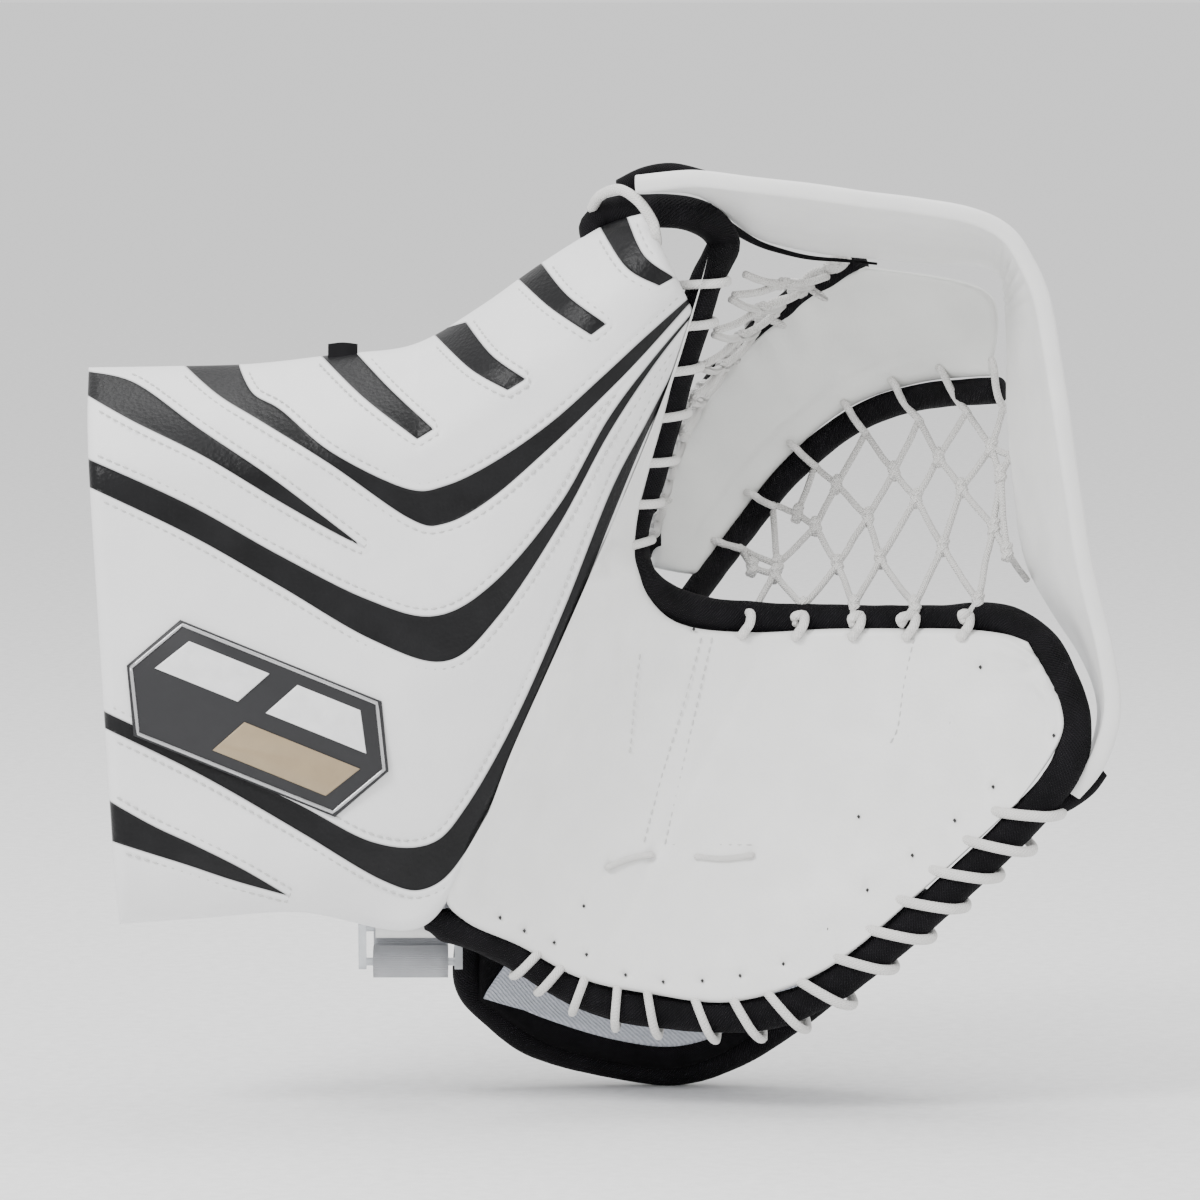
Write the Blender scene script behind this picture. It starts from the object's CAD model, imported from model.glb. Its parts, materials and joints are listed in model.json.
"""Goalie catch glove: the looks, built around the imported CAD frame.

Shapes are drawn facing the viewer, in millimetres: x to the right, y into the depth, z up.
place() leans them back and turns them into the row frame, in metres.
"""
import json
import math

import bmesh
import bpy
import numpy as np
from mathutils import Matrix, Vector, noise


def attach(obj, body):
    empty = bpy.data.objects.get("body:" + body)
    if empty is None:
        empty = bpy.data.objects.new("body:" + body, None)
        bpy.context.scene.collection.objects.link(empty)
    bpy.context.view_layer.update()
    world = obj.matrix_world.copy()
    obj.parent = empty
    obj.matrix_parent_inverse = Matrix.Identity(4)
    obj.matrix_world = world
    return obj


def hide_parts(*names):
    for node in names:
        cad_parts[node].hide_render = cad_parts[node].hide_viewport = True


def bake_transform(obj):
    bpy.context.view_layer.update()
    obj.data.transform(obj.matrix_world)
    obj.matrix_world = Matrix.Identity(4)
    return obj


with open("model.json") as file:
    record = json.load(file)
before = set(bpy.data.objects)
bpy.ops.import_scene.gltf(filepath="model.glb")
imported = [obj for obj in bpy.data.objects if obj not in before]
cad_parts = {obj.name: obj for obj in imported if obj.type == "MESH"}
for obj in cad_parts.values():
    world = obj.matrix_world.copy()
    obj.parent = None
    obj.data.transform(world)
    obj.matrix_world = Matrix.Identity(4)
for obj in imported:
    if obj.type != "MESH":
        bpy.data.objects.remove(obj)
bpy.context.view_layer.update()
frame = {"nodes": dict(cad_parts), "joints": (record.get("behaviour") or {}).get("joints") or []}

# ---- frame

LEAN = math.radians(5)
BREAK_FOOT = np.array((-11.5, 45.0, 29.6))  # the lower end of the break line
BREAK_DIR = np.array((0.461, 0.887))
BREAK_CROSS = np.array((0.887, -0.461))
TURN = np.array(((1, 0, 0), (0, math.cos(LEAN), math.sin(LEAN)), (0, -math.sin(LEAN), math.cos(LEAN))))
hinge = next(joint for joint in frame["joints"] if joint["name"] == "glove_break")
ORIGIN = np.array(hinge["pos_m"]) * 1000 - TURN @ BREAK_FOOT


def place(p):
    """Drawn points in millimetres as points of the frame, in metres."""
    return (np.asarray(p, float) @ TURN.T + ORIGIN) / 1000


# ---- curves


def spline(points, t):
    """Smooth curve through points, at t from 0 to 1."""
    p = np.asarray(points, float)
    n = len(p) - 1
    t = np.clip(np.asarray(t, float), 0, 1) * n
    i = np.minimum(t.astype(int), n - 1)
    u = (t - i).reshape(t.shape + (1,) * (p.ndim - 1))
    a, b, c, d = p[np.maximum(i - 1, 0)], p[i], p[i + 1], p[np.minimum(i + 2, n)]
    return 0.5 * (
        2 * b
        + (c - a) * u
        + (2 * a - 5 * b + 4 * c - d) * u**2
        + (3 * b - a - 3 * c + d) * u**3
    )


def patch(rows, us, vs):
    """Grid through rows of points: us runs along the rows and vs across them."""
    return spline(np.stack([spline(r, us) for r in rows]), vs)


def lengths(p):
    step = np.linalg.norm(np.diff(p, axis=0), axis=1)
    return np.concatenate([[0], np.cumsum(step)])


def at_length(p, s, t):
    """Points of the line p at lengths t along it, where s are the lengths at its own points."""
    return np.stack([np.interp(t, s, p[:, k]) for k in range(p.shape[1])], -1)


def even(points, spacing, smooth=12):
    """The curve through points again, with its points evenly spaced."""
    p = spline(points, np.linspace(0, 1, smooth * (len(points) - 1) + 1))
    s = lengths(p)
    return at_length(p, s, np.linspace(0, s[-1], max(2, int(round(s[-1] / spacing)) + 1)))


def ease(t):
    t = np.clip(t, 0, 1)
    return t * t * (3 - 2 * t)


def near(distance, reach):
    """1 at no distance, falling smoothly to 0 at reach."""
    return np.clip(1 - np.maximum(distance, 0) / reach, 0, None) ** 2


def unit(v):
    v = np.asarray(v, float)
    return v / np.maximum(np.linalg.norm(v, axis=-1, keepdims=True), 1e-9)


def tangents(p):
    return unit(np.gradient(p, axis=0))


def angles(n):
    return np.linspace(0, 2 * np.pi, n, endpoint=False)


def circle(w, a, b):
    """Points at angles w round the unit circle that the directions a and b span."""
    return np.cos(w)[:, None] * a + np.sin(w)[:, None] * b


def rough(p, size, depth=2):
    """Smooth noise from -1 to 1 at points p, in patches about size mm wide."""
    flat = np.asarray(p, float).reshape(-1, 3) / size
    out = [noise.fractal(Vector(q), 1.0, 2.0, depth) for q in flat]
    return np.array(out).reshape(np.asarray(p).shape[:-1])


# ---- the glove's front surface

HEEL_DEPTH, BREAK_SLOPE, CUFF_DEPTH, FINGER_DEPTH = 45, 0.1, 15, 8
TOP_EDGE = np.array([(-192, 265), (-134, 266), (-67, 273), (-37, 292), (0, 319), (30, 336), (60, 345)])
THUMB_EDGE = np.array([(190, 14.4), (218, 18), (240, 23.7), (270, 33), (288, 42), (309, 46)])


def off_break(x, z):
    return (x - BREAK_FOOT[0]) * BREAK_CROSS[0] + (z - BREAK_FOOT[2]) * BREAK_CROSS[1]


def along_break(x, z):
    return (x - BREAK_FOOT[0]) * BREAK_DIR[0] + (z - BREAK_FOOT[2]) * BREAK_DIR[1]


def face(x, z):
    """Depth of the front leather at (x, z)."""
    x, z = np.asarray(x, float), np.asarray(z, float)
    d = off_break(x, z)
    hollow = HEEL_DEPTH + BREAK_SLOPE * np.clip(along_break(x, z), 0, 155)
    finger = hollow - (hollow - FINGER_DEPTH) * (np.maximum(d, 0) / 120) ** 1.7
    thumb = hollow - (hollow - CUFF_DEPTH) * ease(-d / 110)
    top = np.interp(x, *TOP_EDGE.T) - z
    inside = np.interp(z, *THUMB_EDGE.T) - x
    return (
        np.where(d > 0, finger, thumb)
        + 40 * near(top, 45) * np.interp(x, [-60, 20], [1, 0.5])
        + 16 * near(z - 57, 30) * ease((-63 - x) / 40)
        + 14 * near(inside, 25) * ease((z - 185) / 15)
    )


def seated(plan, off):
    """Plan points (x, z) laid on the front surface and moved back by off."""
    plan = np.asarray(plan, float)
    y = face(plan[..., 0], plan[..., 1]) + off
    return np.stack([plan[..., 0], y, plan[..., 1]], -1)


# ---- mesh makers


def make_object(name, verts, faces, uvs=None, values=None):
    me = bpy.data.meshes.new(name)
    me.from_pydata(place(verts).tolist(), [], [tuple(map(int, f)) for f in faces])
    me.update()
    if uvs is not None:
        layer = me.uv_layers.new(name="UVMap")
        loops = np.zeros(len(me.loops), int)
        me.loops.foreach_get("vertex_index", loops)
        layer.data.foreach_set("uv", np.asarray(uvs, np.float32)[loops].ravel())
    for key, value in (values or {}).items():
        attribute = me.attributes.new(key, "FLOAT", "POINT")
        attribute.data.foreach_set("value", np.asarray(value, np.float32).ravel())
    o = bpy.data.objects.new(name, me)
    bpy.context.scene.collection.objects.link(o)
    me.polygons.foreach_set("use_smooth", [True] * len(me.polygons))
    me.validate()
    return o


def outward(o):
    """Turns the faces of a closed mesh so that they look out."""
    bm = bmesh.new()
    bm.from_mesh(o.data)
    bmesh.ops.recalc_face_normals(bm, faces=bm.faces)
    bm.to_mesh(o.data)
    bm.free()
    return o


def around(k, closed=False):
    """Quads between rows of vertex numbers, each a ring; closed joins the last row to the first."""
    k = np.concatenate([k, k[:1]]) if closed else k
    right = np.roll(k, -1, 1)
    return np.stack([k[:-1], right[:-1], right[1:], k[1:]], -1).reshape(-1, 4)


def slab(name, front, back, uvs=None, values=None):
    """Closed piece between two grids of the same size."""
    m, n = front.shape[:2]
    a = np.arange(m * n).reshape(m, n)
    quads = np.stack([a[:-1, :-1], a[:-1, 1:], a[1:, 1:], a[1:, :-1]], -1).reshape(-1, 4)
    rim = np.concatenate([a[0, :], a[1:, -1], a[-1, -2::-1], a[-2:0:-1, 0]])
    nxt = np.roll(rim, -1)
    k = m * n
    faces = np.concatenate([quads, quads[:, ::-1] + k, np.stack([rim, rim + k, nxt + k, nxt], 1)])
    verts = np.concatenate([front.reshape(-1, 3), back.reshape(-1, 3)])
    double = {key: np.concatenate([v.ravel(), v.ravel()]) for key, v in (values or {}).items()}
    if uvs is not None:
        uvs = np.concatenate([uvs.reshape(-1, 2)] * 2)
    return outward(make_object(name, verts, faces, uvs, double))


def tube_mesh(path, radius, sides=12, squash=1.0):
    """Vertices, faces and uvs of a cord along path, which squash makes flatter than round."""
    path = np.asarray(path, float)
    n = len(path)
    tangent = tangents(path)
    a = np.zeros_like(path)
    ref = np.array((0.0, 1.0, 0.0)) if abs(tangent[0][1]) < 0.9 else np.array((1.0, 0.0, 0.0))
    for i in range(n):
        ref = unit(ref - tangent[i] * (ref @ tangent[i]))
        a[i] = ref
    b = np.cross(tangent, a)
    radius = np.broadcast_to(np.asarray(radius, float), (n,))
    w = angles(sides)
    ring = circle(w, a[:, None] * squash, b[:, None])
    verts = (path[:, None] + ring * radius[:, None, None]).reshape(-1, 3)
    k = np.arange(n * sides).reshape(n, sides)
    faces = around(k).tolist()
    tips = path[[0, -1]] + tangent[[0, -1]] * radius[[0, -1], None] * [[-0.35], [0.35]]
    verts = np.concatenate([verts, tips])
    faces += [(k[0, (j + 1) % sides], k[0, j], n * sides) for j in range(sides)]
    faces += [(k[-1, j], k[-1, (j + 1) % sides], n * sides + 1) for j in range(sides)]
    s = lengths(path)
    uv = np.stack(np.broadcast_arrays(w[None, :] / (2 * np.pi), s[:, None] / 10), -1).reshape(-1, 2)
    uv = np.concatenate([uv, [[0.5, 0], [0.5, s[-1] / 10]]])
    return verts, faces, uv


def joined(name, parts):
    """One object from several closed meshes."""
    verts, faces, uvs, start = [], [], [], 0
    for v, f, uv in parts:
        verts.append(v)
        faces += [tuple(k + start for k in q) for q in f]
        uvs.append(uv)
        start += len(v)
    return outward(make_object(name, np.concatenate(verts), faces, np.concatenate(uvs)))


def capsules(name, lines, length=2.3, gap=1.1, radius=0.42, lift=(0, -0.25, 0)):
    """Stitches along the lines of points."""
    parts = []
    w = angles(6)
    for line in lines:
        s = lengths(line)
        for at in np.arange(0.5, s[-1] - length, length + gap):
            ends = at_length(line, s, [at, at + length / 2, at + length])
            t = unit(ends[2] - ends[0])
            a = unit(np.cross(t, (0.1, 1, 0.1)))
            b = np.cross(t, a)
            c = ends + np.asarray(lift) * np.array([[0.1], [1.0], [0.1]])
            rings = np.concatenate([c[i] + k * radius * circle(w, a, b) for i, k in enumerate((0.45, 1, 0.45))])
            faces = around(np.arange(18).reshape(3, 6)).tolist()
            faces += [tuple(range(5, -1, -1)), tuple(range(12, 18))]
            parts.append((rings, faces, np.zeros((18, 2))))
    return joined(name, parts)


# ---- materials


class Shader:
    """A material under construction: add() makes a node and links what it is given."""

    def __init__(self, name):
        self.material = bpy.data.materials.new(name)
        self.material.use_nodes = True
        self.tree = self.material.node_tree
        self.surface = self.tree.nodes["Principled BSDF"]

    def set(self, socket, value):
        if isinstance(value, bpy.types.NodeSocket):
            self.tree.links.new(value, socket)
        else:
            socket.default_value = (*value, 1) if isinstance(value, tuple) else value  # a colour has three values

    def add(self, kind, out=0, props=None, **inputs):
        node = self.tree.nodes.new("ShaderNode" + kind)
        for key, value in (props or {}).items():
            setattr(node, key, value)
        for key, value in inputs.items():
            name = key.replace("_", " ")
            number = name[0] == "i" and name[1:].isdigit()  # i0 and i1 are a node's unnamed inputs
            self.set(node.inputs[int(name[1:]) if number else name], value)
        return node.outputs[out]

    def finish(self, **inputs):
        for key, value in inputs.items():
            self.set(self.surface.inputs[key.replace("_", " ")], value)
        return self.material

    def place(self, use_uv=False):
        return self.add("TexCoord", out="UV" if use_uv else "Object")

    def math(self, operation, a, b=0.0):
        return self.add("Math", props={"operation": operation}, i0=a, i1=b)

    def mix(self, factor, a, b):
        node = self.tree.nodes.new("ShaderNodeMix")
        node.data_type = "RGBA"
        self.set(node.inputs["Factor"], factor)
        self.set(node.inputs["A"], a)
        self.set(node.inputs["B"], b)
        return node.outputs["Result"]

    def ramp(self, value, low, high, to=(0.0, 1.0)):
        return self.add("MapRange", Value=value, From_Min=low, From_Max=high, To_Min=to[0], To_Max=to[1])

    def bump(self, height, distance, strength=1.0, **normal):
        return self.add("Bump", Height=height, Distance=distance, Strength=strength, **normal)


def grain(s, coarse):
    """Leather grain: small cells between fine creases, with the slow waves of its tone."""
    at = s.place()
    cells = s.add("TexVoronoi", props={"feature": "F1"}, Vector=at, Scale=coarse)
    pores = s.add("TexNoise", Vector=at, Scale=2600.0, Detail=2.0)
    waves = s.add("TexNoise", Vector=at, Scale=60.0, Detail=3.0)
    return s.math("ADD", s.math("MULTIPLY", cells, 0.7), s.math("MULTIPLY", pores, 0.5)), waves


def leather(name, light, dark, roughness=0.42):
    s = Shader(name)
    height, waves = grain(s, 700.0)
    tone = s.mix(s.ramp(waves, 0.3, 0.7), light, dark)
    gloss = s.ramp(waves, 0.25, 0.75, (roughness - 0.05, roughness + 0.09))
    return s.finish(Base_Color=tone, Roughness=gloss, Normal=s.bump(height, 0.00011, 0.7), Specular_IOR_Level=0.45)


def striped_leather(name):
    """White panels sewn over black ones; the stripe value is the distance in mm to the nearest black edge."""
    s = Shader(name)
    height, waves = grain(s, 620.0)
    edge = s.add("Attribute", out="Fac", props={"attribute_name": "stripe"})
    white = s.ramp(edge, -0.06, 0.06)
    black_tone = s.mix(s.ramp(waves, 0.3, 0.7), (0.004, 0.004, 0.0045), (0.008, 0.008, 0.009))
    white_tone = s.mix(s.ramp(waves, 0.3, 0.7), (0.86, 0.86, 0.86), (0.82, 0.82, 0.825))
    # thin grey line where the cut edge of the white panel shows
    cut = s.math("MULTIPLY", s.ramp(edge, -0.1, 0.15), s.ramp(edge, 0.55, 0.3))
    tone = s.mix(white, black_tone, s.mix(s.math("MULTIPLY", cut, 0.5), white_tone, (0.45, 0.45, 0.46)))
    gloss = s.math("ADD", s.ramp(waves, 0.25, 0.75, (0.3, 0.42)), s.math("MULTIPLY", white, 0.1))
    step = s.bump(s.ramp(edge, -0.25, 0.45), 0.0006, 0.8)
    strength = s.ramp(white, 0, 1, (1.0, 0.5))
    bump = s.bump(height, 0.00018, strength, Normal=step)
    return s.finish(Base_Color=tone, Roughness=gloss, Normal=bump, Specular_IOR_Level=0.22)


def woven(name, light, dark, threads, roughness, depth, sheen, twill, gloss=0.5):
    """Woven cloth in a piece's own uv: threads per turn and threads per 10 mm of length."""
    s = Shader(name)
    uv = s.add("SeparateXYZ", Vector=s.place(True)).node.outputs
    turns, along = (s.math("MULTIPLY", uv[i], threads[i] * 2 * math.pi) for i in (0, 1))
    warp = s.math("SINE", s.math("ADD", turns, s.math("MULTIPLY", along, twill)))
    weft = s.math("SINE", s.math("SUBTRACT", along, s.math("MULTIPLY", turns, twill * 0.35)))
    height = s.math("ADD", s.math("MULTIPLY", warp, 0.5), s.math("MULTIPLY", weft, 0.35))
    dust = s.add("TexNoise", Vector=s.place(), Scale=90.0, Detail=4.0)
    tone = s.mix(s.math("MULTIPLY", s.ramp(height, -0.8, 0.8), s.ramp(dust, 0.2, 0.8)), dark, light)
    return s.finish(
        Base_Color=tone,
        Roughness=roughness,
        Normal=s.bump(height, depth, 0.8),
        Sheen_Weight=sheen,
        Sheen_Roughness=0.5,
        Specular_IOR_Level=gloss,
    )


def knitted(name, light, dark):
    """Spacer mesh: fine ribs with small holes."""
    s = Shader(name)
    at = s.place()
    diagonal = {"bands_direction": "DIAGONAL"}
    ribs = s.add("TexWave", out="Fac", props=diagonal, Vector=at, Scale=330.0, Distortion=1.2, Detail=1.0)
    holes = s.add("TexVoronoi", Vector=at, Scale=900.0)
    height = s.math("ADD", ribs, s.math("MULTIPLY", holes, 0.6))
    tone = s.mix(s.ramp(height, 0.1, 1.2), dark, light)
    return s.finish(Base_Color=tone, Roughness=0.85, Normal=s.bump(height, 0.0005, 0.7), Sheen_Weight=0.2)


def plastic(name, colour, roughness, coat=0.0, metallic=0.0, transmission=0.0):
    s = Shader(name)
    waves = s.add("TexNoise", Vector=s.place(), Scale=180.0, Detail=3.0)
    dim = tuple(c * 0.9 for c in colour)
    return s.finish(
        Base_Color=s.mix(s.ramp(waves, 0.3, 0.7), colour, dim),
        Roughness=s.ramp(waves, 0.3, 0.7, (roughness, roughness + 0.08)),
        Normal=s.bump(waves, 0.00003, 0.5),
        Coat_Weight=coat,
        Transmission_Weight=transmission,
        Metallic=metallic,
    )


INK_DIM = (0.002, 0.002, 0.0024)
LOOKS = {
    "white_leather": (leather, (0.84, 0.84, 0.83), (0.79, 0.79, 0.78)),
    "pocket_leather": (leather, (0.80, 0.805, 0.78), (0.75, 0.755, 0.735), 0.36),
    "cuff_leather": (striped_leather,),
    "black_nylon": (woven, (0.016, 0.0145, 0.018), INK_DIM, (26.0, 14.0), 0.75, 0.00035, 0.0, 0.6, 0.12),
    "lace": (woven, (0.9, 0.89, 0.87), (0.72, 0.71, 0.69), (10.0, 9.0), 0.6, 0.0003, 0.1, 0.9),
    "net_cord": (woven, (0.86, 0.85, 0.83), (0.66, 0.65, 0.63), (7.0, 8.0), 0.6, 0.0004, 0.1, 1.0),
    "webbing": (woven, (0.72, 0.73, 0.76), (0.5, 0.51, 0.54), (24.0, 12.0), 0.7, 0.0004, 0.2, 0.0),
    "mesh_lining": (knitted, (0.62, 0.64, 0.70), (0.40, 0.42, 0.48)),
    "hook_pile": (woven, (0.05, 0.05, 0.052), INK_DIM, (40.0, 30.0), 0.9, 0.0009, 0.0, 0.0, 0.1),
    "loop_pile": (woven, (0.7, 0.69, 0.66), (0.4, 0.39, 0.37), (30.0, 24.0), 0.95, 0.001, 0.5, 0.2),
    "thread": (plastic, (0.62, 0.62, 0.61), 0.5),
    "badge_black": (plastic, (0.012, 0.012, 0.014), 0.45),
    "badge_white": (plastic, (0.85, 0.85, 0.86), 0.18, 0.5),
    "badge_tan": (plastic, (0.33, 0.25, 0.15), 0.3, 0.3),
    "badge_rim": (plastic, (0.5, 0.5, 0.51), 0.25, 0.2, 0.8),
    "ring_plastic": (plastic, (0.8, 0.83, 0.86), 0.1, 0.3, 0.0, 0.6),
    "rivet": (plastic, (0.6, 0.6, 0.62), 0.25, 0.0, 1.0),
    "dark_hole": (plastic, (0.03, 0.03, 0.03), 0.8),
    "floor": (plastic, (0.93, 0.93, 0.93), 0.6),
}
MATERIALS = {name: maker(name, *values) for name, (maker, *values) in LOOKS.items()}


def dress(o, look, body=None, replaces="", slot=None):
    """Material, slot and stand-ins of a piece, which bends with both sides unless it rides on one body."""
    o.data.materials.clear()
    o.data.materials.append(MATERIALS[look])
    slot or look
    if replaces:
        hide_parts(*replaces.split())
    if body:
        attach(o, body)
    else:
        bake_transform(o)


def group(name, parts, look, body=None, replaces="", slot=None):
    """A piece made of several closed meshes."""
    dress(joined(name, parts), look, body, replaces, slot=slot)


def cord(name, path, radius, sides, look, *rest, **more):
    group(name, [tube_mesh(path, radius, sides)], look, *rest, **more)


def soft_rim(edge, reach):
    """How far a surface curls back at a distance edge from its rim."""
    e = np.clip(edge, 0, reach)
    return reach - np.sqrt(np.maximum(reach**2 - (reach - e) ** 2, 0))


def edge_steps(n, crowd=2.2):
    """n+1 values from 0 to 1, closer together near both ends."""
    t = np.linspace(-1, 1, n + 1)
    return 0.5 + 0.5 * np.sign(t) * (1 - (1 - np.abs(t)) ** crowd)


def rim_distance(grid):
    """Distance in the plan from each grid point to the grid's outline, roughly."""
    p = grid[..., [0, 2]] if grid.shape[-1] == 3 else grid
    su = np.concatenate([np.zeros((p.shape[0], 1)), np.cumsum(np.linalg.norm(np.diff(p, axis=1), axis=-1), 1)], 1)
    sv = np.concatenate([np.zeros((1, p.shape[1])), np.cumsum(np.linalg.norm(np.diff(p, axis=0), axis=-1), 0)], 0)
    return np.minimum(np.minimum(su, su[:, -1:] - su), np.minimum(sv, sv[-1:] - sv))


# ---- cuff

CUFF_TOP = [
    (-191, 264.5), (-158, 265), (-128, 266), (-98, 269.5), (-70, 273), (-45, 287), (-22, 303), (0, 316), (16, 321),
]
CUFF_LOW = [
    (-178, 57.5), (-145, 60), (-111, 62), (-66, 56.5), (-45, 92), (-29.5, 126), (-9.5, 173), (12, 222), (35, 284),
]
# Each black stripe runs between an upper and a lower edge.
STRIPES = [
    (
        [(-192, 263), (-172.8, 258.3), (-148, 240.9), (-123.6, 224.6), (-104.3, 210.2), (-87, 197)],
        [(-192, 254.6), (-172.8, 243.8), (-146, 230.5), (-120, 215), (-100, 203.6), (-87, 197)],
    ),
    (
        [
            (-136, 268), (-129, 254.6), (-118, 247.9), (-98.8, 232), (-71.4, 218.7), (-56.6, 219.8), (-38.5, 228.7),
            (-18, 243), (1, 260), (16, 274), (38, 294),
        ],
        [
            (-158, 268), (-142, 254), (-125, 243.5), (-98.8, 227.2), (-70, 207.5), (-57, 205.7), (-40, 215),
            (-18, 234.2), (2, 253.5), (16, 268), (38, 293),
        ],
    ),
    (
        [
            (-192, 231), (-152, 213), (-118.4, 194.3), (-86, 178), (-61, 171.7), (-39.2, 183.9), (-15.2, 212.4),
            (2.6, 243.8), (19, 266), (35, 285),
        ],
        [
            (-192, 221), (-152, 202), (-118.4, 183), (-84, 163), (-57, 155), (-37.7, 171.3), (-15.2, 205),
            (3, 238.5), (19.6, 264), (35, 284),
        ],
    ),
    (
        [
            (-190, 140), (-156, 124), (-112.5, 103.2), (-84, 88.5), (-63, 87.5), (-49.6, 101), (-31.5, 133),
            (-13, 175), (4, 218), (17, 243), (31, 270),
        ],
        [
            (-190, 134), (-149, 114.3), (-110, 92), (-80, 74), (-64, 71), (-50, 84), (-31.5, 121), (-11, 169),
            (6, 212), (18, 240.5), (32, 268.5),
        ],
    ),
    (
        [(-190, 109), (-166.5, 95.5), (-149, 87.3), (-131.4, 78.4), (-115, 68.5)],
        [(-190, 92), (-168, 85), (-152, 80), (-134.3, 74), (-115, 68.5)],
    ),
    ([(-93, 272), (-78, 256), (-61.4, 240.5)], [(-107, 272), (-88, 253), (-67.3, 236.8)]),
    ([(-50, 281), (-40, 268), (-27.4, 258.9)], [(-63, 278), (-48, 263), (-34, 254.8)]),
    ([(-22, 303), (-12, 290), (2.2, 279.2)], [(-33, 300), (-19, 286), (-3.3, 275.1)]),
    ([(9, 322), (16, 305), (27.4, 296.6)], [(-3, 322), (9, 301), (21.8, 293.4)]),
]


def outline(stripe, spacing=1.2):
    upper, lower = (even(e, spacing) for e in stripe)
    return np.concatenate([upper, lower[::-1]])


def signed_distance(points, polygon):
    """Distance from points to a closed outline, negative inside."""
    best = np.full(len(points), 1e9)
    inside = np.zeros(len(points), bool)
    for a, b in zip(polygon, np.roll(polygon, -1, 0)):
        ab = b - a
        if ab @ ab < 1e-9:
            continue
        t = np.clip(((points - a) @ ab) / (ab @ ab), 0, 1)
        best = np.minimum(best, np.linalg.norm(points - a - t[:, None] * ab, axis=1))
        rising = (a[1] > points[:, 1]) != (b[1] > points[:, 1])
        x = a[0] + (points[:, 1] - a[1]) / (ab[1] if ab[1] else 1e-9) * ab[0]
        inside ^= rising & (points[:, 0] < x)
    return np.where(inside, -best, best)


def stripe_distance(points, outlines, reach=9.0):
    flat = points.reshape(-1, 2)
    best = np.full(len(flat), reach)
    for o in outlines:
        lo, hi = o.min(0) - reach, o.max(0) + reach
        close = np.all((flat > lo) & (flat < hi), axis=1)
        best[close] = np.minimum(best[close], signed_distance(flat[close], o))
    return best.reshape(points.shape[:-1])


outlines = [outline(s) for s in STRIPES]
cuff_plan = patch([CUFF_TOP, CUFF_LOW], np.linspace(0, 1, 281), np.linspace(0, 1, 231))
stripe = stripe_distance(cuff_plan, outlines)
cuff_edge = rim_distance(cuff_plan)
SEAM = 2.7  # how far outside a stripe the thread runs
CUFF_THICK = 17.6
raised = 0.8 * ease((stripe + 0.3) / 1.1) - 0.35 * np.exp(-(((stripe - SEAM) / 0.8) ** 2)) * (cuff_edge > 4)
cuff_front = seated(cuff_plan, 0)
cuff_front[..., 1] += soft_rim(cuff_edge, 5.0) - raised + 0.9 * rough(cuff_front, 45)
cuff_back = seated(cuff_plan, CUFF_THICK - soft_rim(cuff_edge, 7.0))
cuff = slab("cuff_shell", cuff_front, cuff_back, values={"stripe": stripe})
dress(cuff, "cuff_leather", "thumb_side", replaces="cuff_leather cuff_stripes cuff_foam cuff_board")

lining_plan = patch([CUFF_TOP, CUFF_LOW], np.linspace(0.03, 0.97, 80), np.linspace(0.03, 0.97, 60))
lining_front, lining_back = seated(lining_plan, CUFF_THICK - 1), seated(lining_plan, CUFF_THICK + 0.8)
lining_back[..., 1] += 0.8 * rough(lining_back, 30) - soft_rim(rim_distance(lining_plan), 3.0) * 0.4
dress(slab("cuff_lining", lining_front, lining_back), "mesh_lining", "thumb_side", replaces="cuff_liner")


def side_lines(outlines, distance, keep):
    """Lines that run at a distance outside each outline, broken where keep() says no."""
    lines = []
    for o in outlines:
        closed = np.concatenate([o, o[:1]])
        t = tangents(closed)
        n = np.stack([t[:, 1], -t[:, 0]], 1)
        area = np.sum(o[:, 0] * np.roll(o[:, 1], -1) - o[:, 1] * np.roll(o[:, 0], -1))
        p = closed + distance * n * np.sign(area)
        good = keep(p)
        cuts = np.flatnonzero(np.diff(good.astype(int))) + 1
        lines += [run for run, ok in zip(np.split(p, cuts), good[np.r_[0, cuts]]) if ok and len(run) > 3]
    return lines


cuff_boundary = np.concatenate([even(CUFF_TOP, 4), even(CUFF_LOW, 4)[::-1]])


def on_cuff(p):
    clear = stripe_distance(p, outlines) > SEAM - 0.15
    return clear & (signed_distance(p, cuff_boundary) < -2.5)


threads = [seated(line, -0.55) for line in side_lines(outlines, SEAM, on_cuff)]
dress(capsules("cuff_stitches", threads), "thread", "thumb_side", slot="cuff_leather")

# ---- palm

PALM_UPPER = [
    (40, 305), (37, 294), (32.5, 279), (27.5, 261), (23, 243), (18, 225), (14, 207), (14.5, 188), (21.5, 174.5),
    (34, 167.5), (58, 165.5), (85, 166.8), (111, 167), (134, 166.8), (150, 165), (158.5, 162),
]
PALM_LOWER = [
    (37, 292), (28, 262), (13, 218), (-4, 185), (-20, 150), (-33, 121), (-44, 93), (-57, 70), (-50, 58.5), (-30, 49),
    (-8, 37), (16, 31.5), (50, 28.5), (84, 41), (120, 71), (154, 103),
]
BULGE = [0] * 12 + [1, 4, 9, 15]  # how far the finger edge stands out beyond a straight line
PALM_MIDDLE = [((a + c) / 2 + k, (b + d) / 2) for (a, b), (c, d), k in zip(PALM_UPPER, PALM_LOWER, BULGE)]
PALM_ROWS = [PALM_UPPER, PALM_MIDDLE, PALM_LOWER]
palm_plan = patch(PALM_ROWS, np.linspace(0, 1, 241), edge_steps(64))
palm_edge = rim_distance(palm_plan)
palm_front = seated(palm_plan, 0)
d_break = off_break(palm_plan[..., 0], palm_plan[..., 1])
crease = np.exp(-((np.abs(d_break - 4) / 3.0) ** 2)) * ease((palm_edge - 4) / 12)
fine = rough(palm_front * (1.0, 1.0, 0.35), 9.0) * ease((-d_break - 25) / 20) * ease((palm_edge - 2) / 8)
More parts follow.
